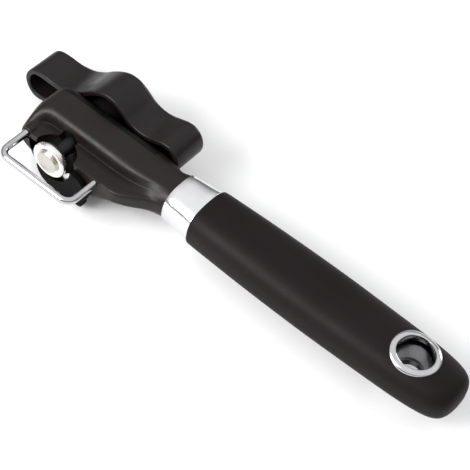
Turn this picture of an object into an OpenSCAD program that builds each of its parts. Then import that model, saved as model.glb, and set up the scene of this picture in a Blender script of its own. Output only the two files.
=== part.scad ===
// Manual side-cut can opener: one handle, a turning knob, a drive wheel and a cutting wheel.
// +X runs from the head along the handle, +Y from the drive wheel's side to the knob,
// +Z up across the handle's thin section. The origin lies on the drive axle's axis, in the
// plane of the head's front face. Millimetres.

/* [Head] */
// how deep the head is, from its front face to its back face
head_depth = 24; // [23:0.5:26]
// how high the head's flat top lies over the drive axis
head_top = 9; // [8:0.5:10]
// thickness of the cover plate on the back of the head
cover_t = 3; // [2.5:0.5:4]
// thickness of the steel frame plate inside the head and the handle
plate_t = 2; // [1.5:0.5:2.5]

/* [Wire guide] */
// diameter of the bent wire
wire_d = 3; // [2.5:0.25:3.5]
// how far the wire's crossbar stands out from the front face
wire_out = 14.1; // [12:0.1:16]
// X of the leg at the head's far end
leg_far_x = -14.5; // [-14.7:0.1:-13.5]
// X of the leg on the handle's side
leg_near_x = 19.5; // [19:0.1:22]
// height of the wire over the drive axis
wire_z = 1; // [0.5:0.1:1.5]
// inside radius of the wire's two bends
wire_bend = 2.4; // [2:0.2:4]

/* [Drive] */
// radius of the bright hub flange
hub_r = 7.5; // [7.2:0.1:7.8]
// radius of the button on the hub flange
button_r = 4.6; // [4:0.1:5.2]
// radius of the drive axle
axle_r = 3; // [2.8:0.1:3.2]
// radius of the toothed drive wheel
wheel_r = 6.3; // [6:0.1:6.6]
// number of teeth round the drive wheel
wheel_teeth = 32; // [24:1:40]
// distance from the bush's own axis to the drive axis
eccentric = 1.6; // [1.2:0.1:1.8]
// running clearance on the radius of every shaft
run_gap = 0.06; // [0.03:0.01:0.08]

/* [Cutter] */
// radius of the cutting wheel
cutter_r = 5.2; // [4.8:0.1:5.4]
// X of the cutting wheel's axis
cutter_x = 10.5; // [10.3:0.1:11]
// Z of the cutting wheel's axis
cutter_z = -7; // [-7.5:0.1:-6.8]

/* [Knob] */
// half of the knob's length
knob_half = 38.4; // [37.4:0.2:39.8]
// how deep the knob is
knob_depth = 16; // [15:0.5:18]
// wall thickness of the hollow knob
knob_wall = 2.2; // [1.8:0.1:2.6]
// how far the knob is turned at rest
knob_turned = 9; // [-20:1:20]

/* [Handle] */
// X where the bright band starts
band_x0 = 45.3; // [44:0.5:47]
// X where the bright band ends and the grip starts
band_x1 = 58.6; // [57:0.5:60]
// X of the handle's end
end_x = 172.5; // [169:0.5:178]
// Y of the handle's long axis
handle_y = 17.4; // [17.2:0.1:17.8]
// how far the eyelet's centre lies from the handle's end
eyelet_back = 21; // [20:0.1:24]

/* [Hidden] */
$fn = 48;
hz = 1;
oval_e = 2.6;
eye_x = end_x - eyelet_back;
cover_y = head_depth - cover_t;
plate_y = handle_y - plate_t / 2;
cut_dist = norm([cutter_x, cutter_z]);
ux = cutter_x / cut_dist;
uz = cutter_z / cut_dist;
bush_x = -eccentric * ux;
bush_z = -eccentric * uz;
bush_r = 5.2;
bush_y0 = 9;
axle_room = 0.5;
stud_r = 1.8;
screw_r = 1.25;
screw_head_r = 2.3;
screw_end = [-12.6, -4.5];
screw_neck = [24, 1];
stop_r = 1;
pin_r = 1.2;
pin_half = 8.5;
pin_near_x = 70;
pin_far_x = 120;
hollow_r = 9.5;
hollow_y = -1.5;
eye_trim = 0.015;
knob_y0 = head_depth + 0.8;
knob_y1 = knob_y0 + knob_depth;
boss_y0 = head_depth + 2;
pin_angle = 150;
pin_reach = 6.9;
core_r = 5.8;
core_half = 3;
tube_half = core_r;
ring_proud = 0.35;
ring_r = 9.45;
knob_x_scale = knob_half / 40.7;
relief_r = knob_half + 2.1;

// ---- functions ----------------------------------------------------------------------
function smooth(t) = let (c = min(1, max(0, t))) c * c * (3 - 2 * c);
function mix(a, b, t) = a + (b - a) * t;
function crom(p0, p1, p2, p3, t) =
    0.5 * (2 * p1 + (p2 - p0) * t + (2 * p0 - 5 * p1 + 4 * p2 - p3) * t * t
    + (3 * p1 - p0 - 3 * p2 + p3) * t * t * t);
// a closed smooth curve through the given points, with k points for each of them
function closed_curve(p, k) = let (n = len(p)) [
    for (i = [0 : n - 1]) for (j = [0 : k - 1])
        crom(p[(i + n - 1) % n], p[i], p[(i + 1) % n], p[(i + 2) % n], j / k)
];
// every point of a closed outline, moved along its own normal
function moved(p, d) = let (n = len(p)) [
    for (i = [0 : n - 1])
        let (t = p[(i + 1) % n] - p[(i + n - 1) % n])
        p[i] + d * [t[1], -t[0]] / norm(t)
];
// a flattened oval with corners squarer than an ellipse's
function oval(a, b, e, n) = [
    for (i = [0 : n - 1])
        let (c = cos(360 * i / n), s = sin(360 * i / n))
        [a * sign(c) * pow(abs(c), 2 / e), b * sign(s) * pow(abs(s), 2 / e)]
];
function tri_round(r, n = 48) = [
    for (i = [0 : n - 1]) let (a = 360 * i / n, q = r + eye_trim * r * cos(3 * (a + 139)))
        [q * cos(a), q * sin(a)]
];

// Outline rings joined into one closed skin. Every ring has the same number of points.
function centre(r) = let (one = [for (p = r) 1]) one * r / len(r);
module skin(rings) {
    n = len(rings[0]);
    m = len(rings);
    pts = concat([for (r = rings) for (p = r) p], [centre(rings[0]), centre(rings[m - 1])]);
    sides = [
        for (j = [0 : m - 2]) for (i = [0 : n - 1]) let (k = (i + 1) % n)
            each [[j * n + i, (j + 1) * n + k, j * n + k], [j * n + i, (j + 1) * n + i, (j + 1) * n + k]]
    ];
    first = [for (i = [0 : n - 1]) [i, (i + 1) % n, m * n]];
    last = [for (i = [0 : n - 1]) [(m - 1) * n + (i + 1) % n, (m - 1) * n + i, m * n + 1]];
    polyhedron(points = pts, faces = concat(first, sides, last), convexity = 6);
}

// A cylinder along +Y between two Y values.
module rod(r, y0, y1, x = 0, z = 0, f = 48) {
    translate([x, y0, z]) rotate([-90, 0, 0]) cylinder(r = r, h = y1 - y0, $fn = f);
}

// A flat outline in X and Z, extruded along +Y between two Y values.
module slab(y0, y1) {
    translate([0, y1, 0]) rotate([90, 0, 0]) linear_extrude(height = y1 - y0) children();
}

// A flat-sided bar along X, round at its two edges, centred on the handle's axis.
module stadium_bar(x0, x1, r, half) {
    translate([x0, handle_y, hz]) rotate([90, 0, 90]) linear_extrude(height = x1 - x0) {
        translate([-half, 0]) circle(r = r);
        translate([half, 0]) circle(r = r);
        translate([-half, -r]) square([2 * half, 2 * r]);
    }
}

// ---- head ---------------------------------------------------------------------------
// The head's section: [y, z] points round the front, the underside, the back and the top.
head_ring = [
    [-1.3, -1], [-1.3, -6], [0.6, -10.3], [3.6, -12.9], [7.5, -13.7], [12, -13.9], [17, -13.4],
    [21.6, -11.8], [24.6, -8], [25.3, -2], [25, 5], [23.9, 7.9], [21.6, 9], [16, 9.05], [12.1, 9.05]
];
// From the top down to the front face: a wall over a flat ledge, and a plain slope.
front_ledge = [
    [10.6, 8.75], [9.4, 7.85], [8.8, 6.8], [8.65, 5.4], [8.6, 4], [8.55, 3.2], [8, 2.95], [4.5, 2.85],
    [-0.7, 2.6]
];
front_slope = [
    [10.6, 8.75], [9, 8.1], [7.5, 7.2], [6.1, 6.2], [4.8, 5.2], [3.5, 4.2], [2.2, 3.1], [0.8, 1.8],
    [-0.7, 0.3]
];
// [x, share of the oval neck, underside's share, top's share, front set back, back set in, ledge's share]
head_stations = [
    [-19, 0, 0.2, 0.4, 5.4, 4.6, 0], [-18.4, 0, 0.34, 0.62, 3.4, 2.8, 0],
    [-17.4, 0, 0.43, 0.78, 1.7, 1.5, 0], [-16, 0, 0.52, 0.89, 0.6, 0.6, 0.15],
    [-14, 0, 0.61, 0.96, 0.1, 0.1, 0.45], [-11.5, 0, 0.68, 1, 0, 0, 0.85], [-8, 0, 0.77, 1, 0, 0, 1],
    [-4, 0, 0.91, 1, 0, 0, 1], [0, 0, 1, 1, 0, 0, 1], [8, 0, 1, 1, 0, 0, 1], [13, 0, 0.96, 1, 0, 0, 1],
    [17, 0.03, 0.87, 1, 0, 0, 1], [21, 0.12, 0.77, 1, 0, 0, 1], [25, 0.26, 0.69, 1, 0, 0, 1],
    [29, 0.43, 0.64, 1, 0, 0, 1], [33, 0.62, 0.6, 1, 0, 0, 1], [38, 0.84, 0.56, 1, 0, 0.8, 1],
    [41.5, 0.94, 0.54, 1, 0, 1.5, 1], [45.3, 1, 0.53, 1, 0, 0, 1]
];
neck_half = [9.25, 7.75];
neck_corner = 1.6;
ridge_lasts = 2.2;
function oval_point(a, b, e, t) =
    [a * sign(cos(t)) * pow(abs(cos(t)), 2 / e), b * sign(sin(t)) * pow(abs(sin(t)), 2 / e)];
// The neck's share at one point: the front ridge turns into the oval later than the rest.
function neck_share(p, neck) =
    mix(neck, pow(neck, ridge_lasts), smooth((12 - p[0]) / 4) * smooth((p[1] + 8) / 6));
function head_point(p, s) =
    let (
        t = atan2((p[1] - 0.5) * 1.1, (p[0] - 12.5) * 0.85),
        ov = oval_point(neck_half[0], neck_half[1], oval_e + neck_corner * (1 - s[1]), t),
        y1 = p[0] * (head_depth - s[4] - s[5]) / head_depth + s[4],
        z1 = p[1] * (p[1] < 0 ? s[2] : s[3]),
        k = neck_share(p, s[1])
    ) [
        s[0] > 45 ? band_x0 : s[0],
        mix(y1, handle_y + ov[0], k) - (p[0] > 12 ? s[5] * s[1] : 0),
        mix(z1, hz + ov[1], k)
    ];
function head_section(ledge) =
    closed_curve(concat(head_ring, mix(front_slope, front_ledge, ledge)), 2);

module head_outer() {
    skin([for (s = head_stations) [for (p = head_section(s[6])) head_point(p, s)]]);
}

module screw_ways(r, y0) {
    for (p = [screw_end, screw_neck]) rod(r, y0, head_depth + 1, p[0], p[1]);
}

module bores() {
    rod(bush_r + run_gap, bush_y0 - 0.1, head_depth + 4, bush_x, bush_z);
    // room for the axle as the bush swings it
    for (a = [0, 50, 100])
        rod(
            axle_r + axle_room, -4, bush_y0,
            bush_x * (1 - cos(a)) + bush_z * sin(a), bush_z * (1 - cos(a)) - bush_x * sin(a)
        );
    rod(wire_d / 2, -6, plate_y, leg_far_x, wire_z);
    rod(wire_d / 2, -6, plate_y, leg_near_x, wire_z);
    rod(stud_r, -6, plate_y + plate_t, cutter_x, cutter_z);
    screw_ways(screw_r, 8);
    rod(stop_r, 16, head_depth + 2, bush_x + pin_reach * cos(pin_angle), bush_z + pin_reach * sin(pin_angle));
}

module head_body() {
    color([0.11, 0.105, 0.105])
    difference() {
        intersection() {
            union() {
                head_outer();
                intersection() {
                    rod(13.6, -1, 6, f = 96);
                    translate([-20, -2, -20]) cube([40, 10, 20]);
                }
            }
            translate([-30, 0, -30]) cube([90, 40, 60]);
        }
        translate([-31, cover_y, -31]) cube([61, 20, 62]);
        // room for the knob's end as it sweeps past the neck
        rod(relief_r, head_depth + 0.4, head_depth + 12, f = 96);
        bores();
        slab(plate_y, plate_y + plate_t) plate_outline();
        // a round hollow behind the drive wheel, for the rolled rim of the can
        translate([0, hollow_y, 0]) sphere(r = hollow_r);
        rod(2.6, -1, 8, leg_far_x, wire_z);
        rod(2.4, -1, 4, leg_near_x, wire_z);
    }
}

module back_cover() {
    color([0.12, 0.115, 0.115])
    difference() {
        intersection() {
            head_outer();
            translate([-30, cover_y, -30]) cube([60, cover_t, 60]);
        }
        bores();
        screw_ways(screw_head_r, head_depth - 1.3);
    }
}

module plate_outline() {
    translate([-11, -5.6]) square([39, 11.6]);
    translate([-11, 0.2]) circle(r = 5.8);
    translate([28, -3.6]) square([14, 9]);
    translate([42, -3]) square([96, 8]);
    translate([cutter_x, cutter_z + 0.4]) circle(r = 4);
}

module frame_plate() {
    color([0.62, 0.62, 0.63])
    difference() {
        slab(plate_y, plate_y + plate_t) plate_outline();
        rod(bush_r + run_gap, -4, head_depth + 4, bush_x, bush_z);
        rod(stud_r, -6, head_depth, cutter_x, cutter_z);
        screw_ways(screw_r, 8);
        rod(stop_r, 16, head_depth + 2, bush_x + pin_reach * cos(pin_angle), bush_z + pin_reach * sin(pin_angle));
        tang_pins();
    }
}

// ---- cutter -------------------------------------------------------------------------
module cover_outline() {
    translate([1.2, -6.6]) circle(r = 7.4);
    translate([cutter_x + 0.3, cutter_z + 0.1]) circle(r = 7);
    translate([1.2, -14]) square([cutter_x - 1, 7.5]);
    translate([cutter_x + 4.4, cutter_z - 4.6]) circle(r = 2.2);
}

module cutter_cover() {
    color([0.1, 0.1, 0.1])
    difference() {
        slab(-2.7, 0) cover_outline();
        rod(hub_r + 2.2, -4, 1);
        rod(cutter_r + 0.5, -1.9, 1, cutter_x, cutter_z);
        rod(2.6, -3, 0.5, leg_near_x, wire_z);
        rod(2.9, -2.4, 0, cutter_x, cutter_z);
    }
}

module cutter_stud() {
    color([0.55, 0.55, 0.56]) {
        rod(stud_r, -1.9, plate_y + plate_t, cutter_x, cutter_z);
        rod(2.7, -2.35, -1.6, cutter_x, cutter_z);
    }
}

module cutter_washer() {
    color([0.72, 0.6, 0.35])
    difference() {
        rod(3, -0.42, 0, cutter_x, cutter_z);
        rod(stud_r, -1, 1, cutter_x, cutter_z);
    }
}

module cutter_wheel() {
    color([0.78, 0.78, 0.78])
    translate([cutter_x, -1, cutter_z]) rotate([-90, 0, 0])
    difference() {
        union() {
            translate([0, 0, -0.5]) cylinder(r1 = cutter_r - 1.5, r2 = cutter_r, h = 0.42);
            translate([0, 0, -0.08]) cylinder(r = cutter_r, h = 0.12);
            translate([0, 0, 0.04]) cylinder(r1 = cutter_r, r2 = cutter_r - 1.5, h = 0.41);
        }
        translate([0, 0, -2]) cylinder(r = stud_r + run_gap, h = 4);
    }
}

// ---- wire guide ---------------------------------------------------------------------
module bend(x, z, turn) {
    r = wire_bend + wire_d / 2;
    translate([x, -wire_out + r, z]) rotate([0, 0, turn])
    rotate_extrude(angle = 90) translate([r, 0]) circle(r = wire_d / 2);
}

module wire_guide() {
    r = wire_bend + wire_d / 2;
    color([0.82, 0.82, 0.83]) {
        rod(wire_d / 2, -wire_out + r, plate_y, leg_far_x, wire_z);
        rod(wire_d / 2, -wire_out + r, plate_y, leg_near_x, wire_z);
        bend(leg_far_x + r, wire_z, 180);
        bend(leg_near_x - r, wire_z, 270);
        translate([leg_far_x + r, -wire_out, wire_z]) rotate([0, 90, 0])
        cylinder(r = wire_d / 2, h = leg_near_x - leg_far_x - 2 * r);
    }
}

module leg_sleeve() {
    color([0.12, 0.115, 0.115])
    difference() {
        rod(2.6, 0.4, 8, leg_far_x, wire_z);
        rod(wire_d / 2, -6, 18, leg_far_x, wire_z);
    }
}

module leg_collar() {
    color([0.12, 0.115, 0.115])
    difference() {
        rod(2.4, -0.25, 4, leg_near_x, wire_z);
        rod(wire_d / 2, -6, 18, leg_near_x, wire_z);
    }
}

// ---- bush and drive -----------------------------------------------------------------
module eccentric_bush() {
    color([0.12, 0.12, 0.13])
    difference() {
        union() {
            rod(bush_r, bush_y0, head_depth + 0.2, bush_x, bush_z);
            rod(8, head_depth + 0.15, head_depth + 1.35, bush_x, bush_z);
        }
        rod(axle_r + run_gap, -4, head_depth + 4);
        // the notch that the stop pin stands in
        translate([bush_x, head_depth, bush_z]) rotate([90, 0, 0]) rotate([0, 0, pin_angle - 112])
        translate([0, 0, -3]) rotate_extrude(angle = 122, $fn = 64) translate([5.6, 0]) square([4, 6]);
    }
}

module stop_pin() {
    color([0.6, 0.6, 0.6])
    rod(stop_r, 19, head_depth + 1.2, bush_x + pin_reach * cos(pin_angle), bush_z + pin_reach * sin(pin_angle));
}

module screw(x, z) {
    color([0.5, 0.5, 0.5])
    difference() {
        union() {
            rod(screw_r, 8, head_depth - 0.2, x, z);
            rod(screw_head_r, head_depth - 1.3, head_depth - 0.1, x, z);
        }
        translate([x - 1.6, head_depth - 0.7, z - 0.3]) cube([3.2, 2, 0.6]);
        translate([x - 0.3, head_depth - 0.7, z - 1.6]) cube([0.6, 2, 3.2]);
    }
}

module cover_screw_end() {
    screw(screw_end[0], screw_end[1]);
}

module cover_screw_neck() {
    screw(screw_neck[0], screw_neck[1]);
}

module drive_axle() {
    color([0.15, 0.15, 0.16])
    difference() {
        rod(axle_r, -4, head_depth + 11.4);
        difference() {
            rod(axle_r + 1, head_depth + 10, head_depth + 10.6);
            rod(axle_r - 0.6, head_depth + 9, head_depth + 11);
        }
    }
}

module drive_wheel() {
    color([0.3, 0.3, 0.31])
    difference() {
        slab(-2, -0.5) polygon([
            for (i = [0 : 2 * wheel_teeth - 1])
                let (a = 180 * i / wheel_teeth, r = wheel_r - (i % 2) * 0.55) [r * cos(a), r * sin(a)]
        ]);
        rod(axle_r, -4, 4);
    }
}

module hub_flange() {
    color([0.86, 0.84, 0.82])
    difference() {
        union() {
            rod(hub_r, -3.4, -2, f = 72);
            translate([0, -4, 0]) rotate([-90, 0, 0])
            cylinder(r1 = hub_r - 0.7, r2 = hub_r, h = 0.6, $fn = 72);
        }
        rod(axle_r, -4.5, 4);
    }
}

module hub_button() {
    color([0.9, 0.88, 0.86]) {
        rod(button_r, -4.6, -4, f = 72);
        translate([0, -5, 0]) rotate([-90, 0, 0])
        cylinder(r1 = button_r - 0.5, r2 = button_r, h = 0.4, $fn = 72);
    }
}

module front_washer() {
    color([0.1, 0.1, 0.1])
    difference() {
        rod(6, -0.5, -0.05);
        rod(axle_r, -1, 1);
    }
}

module rear_washer() {
    color([0.1, 0.1, 0.1])
    difference() {
        rod(6.4, head_depth + 1.45, boss_y0);
        rod(axle_r, head_depth, head_depth + 4);
    }
}

// ---- knob ---------------------------------------------------------------------------
// [x, z] points along the knob's upper edge. The lower edge is the same edge turned half round.
knob_edge = [
    [-40.7, 0.2], [-39.6, 3.9], [-36.8, 6.6], [-33, 7.3], [-29, 6.9], [-24.5, 6.1], [-20, 6.1],
    [-15.5, 7], [-10.5, 9.2], [-5.5, 12.3], [-0.5, 14.6], [4, 15.4], [8.5, 14.4], [12.5, 11.6],
    [16, 8.4], [20, 6.5], [24.5, 6], [29, 6.7], [33, 7.3], [36.8, 6.6], [39.6, 3.9]
];
knob_outline = closed_curve([
    for (s = [1, -1]) for (p = knob_edge) [p[0] * s * knob_x_scale, p[1] * s * 0.985]
], 3);

module knob_shell() {
    color([0.13, 0.13, 0.13])
    rotate([0, -knob_turned, 0])
    difference() {
        union() {
            difference() {
                slab(knob_y0, knob_y1) polygon(knob_outline);
                slab(knob_y0 - 1, knob_y1 - 2) polygon(moved(knob_outline, knob_wall));
            }
            rod(7.4, boss_y0, knob_y1 - 1);
            translate([1.5 - knob_half, boss_y0 + 4, -0.8])
            cube([2 * knob_half - 3, knob_depth - 6, 1.6]);
            for (x = [-17, 0, 17]) {
                h = x == 0 ? 12.6 : 4.8;
                translate([x - 0.8, boss_y0 + 4, -h]) cube([1.6, knob_depth - 6, 2 * h]);
            }
        }
        rod(5, boss_y0 - 1, knob_y1 + 1);
        rod(6.8, knob_y1 - 0.6, knob_y1 + 1);
    }
}

module knob_insert() {
    color([0.6, 0.58, 0.5])
    difference() {
        rod(5, boss_y0, head_depth + 10);
        rod(axle_r, boss_y0 - 1, head_depth + 11);
    }
}

module axle_clip() {
    color([0.4, 0.4, 0.42])
    difference() {
        rod(4.6, head_depth + 10, head_depth + 10.6);
        rod(axle_r - 0.6, head_depth + 9, head_depth + 12);
        translate([-1, head_depth + 9, -6]) cube([2, 3, 6]);
    }
}

module knob_cap() {
    color([0.15, 0.15, 0.15])
    rotate([0, -knob_turned, 0]) {
        rod(5, knob_y1 - 4, knob_y1 - 0.5);
        rod(6.8, knob_y1 - 0.6, knob_y1);
    }
}

// ---- handle -------------------------------------------------------------------------
function handle_ring(x, a, b, e, n = 40) = [
    for (p = oval(a, b, e, n)) [x, handle_y + p[0], hz + p[1]]
];

module ferrule_band() {
    w = band_x1 - band_x0;
    color([0.8, 0.8, 0.81])
    difference() {
        skin([
            for (s = [
                [0, 9.5, 8], [0.3, 9.75, 8.25], [0.5 * w, 10.25, 8.5], [w - 0.3, 10.85, 8.8],
                [w, 10.65, 8.6]
            ])
            handle_ring(band_x0 + s[0], s[1], s[2], oval_e)
        ]);
        stadium_bar(band_x0 - 1, band_x1 + 1, core_r, core_half);
    }
}

// [share of the grip's length, half width, half height]
grip_stations = [
    [0, 11.3, 9], [0.012, 11.7, 9.3], [0.08, 12.1, 9.4], [0.2, 12.6, 9.6], [0.35, 13, 9.7],
    [0.5, 13.1, 9.7], [0.65, 12.8, 9.6], [0.8, 12.4, 9.4], [0.88, 11.8, 9.1], [0.93, 11, 8.6],
    [0.96, 10, 7.8], [0.98, 8.6, 6.6], [0.993, 6.4, 4.8], [1, 3.5, 2.5]
];
module grip_skin(proud) {
    skin([
        for (s = grip_stations)
        handle_ring(mix(band_x1, end_x, s[0]), s[1] + proud, s[2] + proud, oval_e)
    ]);
}

module handle_grip() {
    color([0.1, 0.1, 0.1])
    difference() {
        grip_skin(0);
        stadium_bar(band_x1 - 1, end_x - 8, core_r, core_half);
        translate([eye_x, handle_y, -20]) linear_extrude(height = 40) polygon(tri_round(7.6));
        translate([eye_x, handle_y, hz + tube_half]) linear_extrude(height = 12) polygon(tri_round(ring_r));
        translate([eye_x, handle_y, hz - tube_half - 12]) linear_extrude(height = 12)
        polygon(tri_round(ring_r));
    }
}

module handle_core() {
    color([0.2, 0.2, 0.2])
    difference() {
        stadium_bar(band_x0, end_x - 8, core_r, core_half);
        translate([band_x0 - 1, plate_y, -3]) cube([138 - band_x0 + 1, plate_t, 8]);
        translate([eye_x, handle_y, -20]) linear_extrude(height = 40) polygon(tri_round(7.6));
        tang_pins();
    }
}

module tang_pin(x) {
    rod(pin_r, handle_y - pin_half, handle_y + pin_half, x, hz);
}

module tang_pins() {
    tang_pin(pin_near_x);
    tang_pin(pin_far_x);
}

module tang_pin_near() {
    color([0.6, 0.6, 0.6]) tang_pin(pin_near_x);
}

module tang_pin_far() {
    color([0.6, 0.6, 0.6]) tang_pin(pin_far_x);
}

module eyelet_tube() {
    color([0.3, 0.3, 0.31])
    translate([eye_x, handle_y, hz - tube_half]) linear_extrude(height = 2 * tube_half) difference() {
        polygon(tri_round(7.6));
        polygon(tri_round(6.4));
    }
}

// a rim round the eyelet that follows the grip's own surface and stands a little proud of it
module eyelet_ring(z) {
    intersection() {
        translate([eye_x, handle_y, z]) linear_extrude(height = 6) difference() {
            polygon(tri_round(ring_r));
            polygon(tri_round(7));
        }
        grip_skin(ring_proud);
    }
}

module eyelet_ring_top() {
    color([0.8, 0.8, 0.81]) eyelet_ring(hz + tube_half);
}

module eyelet_ring_bottom() {
    color([0.8, 0.8, 0.81]) eyelet_ring(hz - tube_half - 6);
}

head_body();
back_cover();
frame_plate();
cutter_cover();
leg_sleeve();
leg_collar();
wire_guide();
cutter_stud();
cutter_washer();
cutter_wheel();
eccentric_bush();
stop_pin();
cover_screw_end();
cover_screw_neck();
drive_axle();
drive_wheel();
hub_flange();
hub_button();
front_washer();
rear_washer();
knob_shell();
knob_insert();
axle_clip();
knob_cap();
ferrule_band();
handle_core();
handle_grip();
tang_pin_near();
tang_pin_far();
eyelet_tube();
eyelet_ring_top();
eyelet_ring_bottom();
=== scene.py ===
"""How the manual can opener looks: its visible shells, metal parts, materials, light and camera.

Shapes are worked out in millimetres in the CAD's own frame: +X along the handle, +Y from the
drive wheel to the knob, +Z up across the handle. Blender's units are metres.
"""

import math

import bmesh
import bpy
from mathutils import Matrix, Vector


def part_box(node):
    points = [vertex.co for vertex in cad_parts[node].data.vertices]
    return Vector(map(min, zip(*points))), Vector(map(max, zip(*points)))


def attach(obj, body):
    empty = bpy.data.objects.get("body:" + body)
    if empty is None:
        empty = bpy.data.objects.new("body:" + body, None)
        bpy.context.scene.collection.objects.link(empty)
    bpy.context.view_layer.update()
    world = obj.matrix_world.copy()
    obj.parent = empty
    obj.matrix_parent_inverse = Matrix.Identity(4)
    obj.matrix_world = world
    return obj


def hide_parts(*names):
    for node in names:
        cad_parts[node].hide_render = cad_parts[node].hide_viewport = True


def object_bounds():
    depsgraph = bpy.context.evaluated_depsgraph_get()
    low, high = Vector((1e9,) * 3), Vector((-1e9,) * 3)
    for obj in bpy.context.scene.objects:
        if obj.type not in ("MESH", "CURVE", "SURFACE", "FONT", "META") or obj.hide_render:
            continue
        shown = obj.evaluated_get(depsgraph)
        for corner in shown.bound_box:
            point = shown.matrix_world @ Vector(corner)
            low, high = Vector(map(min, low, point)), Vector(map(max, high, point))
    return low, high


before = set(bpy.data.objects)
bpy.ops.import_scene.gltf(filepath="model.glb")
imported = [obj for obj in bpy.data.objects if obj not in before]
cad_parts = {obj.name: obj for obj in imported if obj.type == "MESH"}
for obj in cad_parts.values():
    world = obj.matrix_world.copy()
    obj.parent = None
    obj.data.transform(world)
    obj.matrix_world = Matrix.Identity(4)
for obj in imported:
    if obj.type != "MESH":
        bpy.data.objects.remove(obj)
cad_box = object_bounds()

MM = 0.001


# ---- places taken from the frame ------------------------------------------------------
def low(node, axis):
    """A CAD node's lowest coordinate on an axis, in millimetres."""
    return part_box(node)[0]["xyz".index(axis)] / MM


def high(node, axis):
    """A CAD node's highest coordinate on an axis, in millimetres."""
    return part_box(node)[1]["xyz".index(axis)] / MM


def middle(node, axis):
    """The middle of a CAD node's box on an axis, in millimetres."""
    return (low(node, axis) + high(node, axis)) / 2


HEAD_DEPTH = high("back_cover", "y")
COVER_Y = low("back_cover", "y")
COVER_X1 = high("back_cover", "x")
BAND_X0 = low("ferrule_band", "x")
BAND_X1 = high("ferrule_band", "x")
END_X = high("handle_grip", "x")
HANDLE_Y = middle("handle_grip", "y")
HANDLE_Z = middle("handle_core", "z")
EYE_X = middle("eyelet_tube", "x")
TUBE_HALF = high("eyelet_tube", "z") - HANDLE_Z
PLATE_Y0, PLATE_Y1 = low("frame_plate", "y"), high("frame_plate", "y")
BUSH_Y0 = low("eccentric_bush", "y")
BUSH_X = middle("eccentric_bush", "x")
# A notch is cut in the top of the bush's flange, so only its lower edge gives the bush's height.
BUSH_Z = low("eccentric_bush", "z") + BUSH_X - low("eccentric_bush", "x")
PIN_X, PIN_Z = middle("stop_pin", "x"), middle("stop_pin", "z")
SCREWS = [(middle(n, "x"), middle(n, "z")) for n in ("cover_screw_end", "cover_screw_neck")]
CUTTER_X, CUTTER_Z = middle("cutter_wheel", "x"), middle("cutter_wheel", "z")
CUTTER_Y0, CUTTER_Y1 = low("cutter_wheel", "y"), high("cutter_wheel", "y")
CUTTER_R = high("cutter_wheel", "x") - CUTTER_X
WIRE_R = (high("wire_guide", "z") - low("wire_guide", "z")) / 2
WIRE_Z = middle("wire_guide", "z")
LEG_FAR_X = low("wire_guide", "x") + WIRE_R
LEG_NEAR_X = high("wire_guide", "x") - WIRE_R
WIRE_OUT = low("wire_guide", "y") + WIRE_R
KNOB_Y0, KNOB_Y1 = low("knob_shell", "y"), high("knob_shell", "y")
BOSS_Y0 = low("knob_insert", "y")
HUB_R = high("hub_flange", "x")
BUTTON_R = high("hub_button", "x")

# ---- sizes the frame doesn't give -----------------------------------------------------
OVAL_POWER = 2.6
RUN_GAP = 0.06
BUSH_R = 5.2
AXLE_R = 3.0
AXLE_ROOM = 0.5
HOLLOW_R = 9.5
HOLLOW_Y = -1.5
HOLLOW_STEPS = 48
STUD_R = 1.8
SCREW_R = 1.25
SCREW_HEAD_R = 2.3
SCREW_HEAD_DEPTH = 1.3
STOP_PIN_R = 1.0
SLEEVE_R = 2.6
COLLAR_R = 2.4
KNOB_WALL = 2.2
KNOB_TURNED = 9.0
KNOB_HALF = 38.4
KNOB_EDGE_SPAN = 40.7
WIRE_BEND = 2.4
PARTING_GAP = 0.14
# how far the eyelet's rim departs from round, as a share, and the angle of that form in degrees
EYELET_TRIM = 0.03
EYELET_TURN = 57
# the bush's angles, in degrees, at which the head is cut to give the drive axle room
SWINGS = (0, 50, 100)


# ---- curves ---------------------------------------------------------------------------
def catmull(p0, p1, p2, p3, t):
    """A point on the smooth curve from p1 to p2."""
    return tuple(
        0.5 * (2 * b + (c - a) * t + (2 * a - 5 * b + 4 * c - d) * t * t + (3 * b - a - 3 * c + d) * t**3)
        for a, b, c, d in zip(p0, p1, p2, p3)
    )


def closed_curve(points, steps):
    """A closed smooth curve through the points, with that many steps for each of them."""
    n = len(points)
    return [
        catmull(points[i - 1], points[i], points[(i + 1) % n], points[(i + 2) % n], j / steps)
        for i in range(n)
        for j in range(steps)
    ]


def open_curve(points, steps):
    """An open smooth curve through the points."""
    ends = [points[0], *points, points[-1]]
    made = [
        catmull(*ends[i : i + 4], j / steps)
        for i in range(len(points) - 1)
        for j in range(steps)
    ]
    return made + [tuple(points[-1])]


def inset(outline, distance):
    """Every point of a closed outline, moved inward along its own normal."""
    n = len(outline)
    made = []
    for i, (x, z) in enumerate(outline):
        tx = outline[(i + 1) % n][0] - outline[i - 1][0]
        tz = outline[(i + 1) % n][1] - outline[i - 1][1]
        length = math.hypot(tx, tz)
        made.append((x + distance * tz / length, z - distance * tx / length))
    return made


def oval(half_width, half_height, count):
    """A flattened oval with corners squarer than an ellipse's."""
    made = []
    for i in range(count):
        c, s = math.cos(math.tau * i / count), math.sin(math.tau * i / count)
        made.append(
            (
                half_width * math.copysign(abs(c) ** (2 / OVAL_POWER), c),
                half_height * math.copysign(abs(s) ** (2 / OVAL_POWER), s),
            )
        )
    return made


def three_sided(angle):
    """How far the eyelet's faintly three-sided rim lies from its centre, for a radius of 1."""
    return 1 + EYELET_TRIM * math.cos(3 * angle + math.radians(EYELET_TURN))


def mix(a, b, share):
    """The value that lies a share of the way from a to b."""
    return a + (b - a) * share


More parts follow.
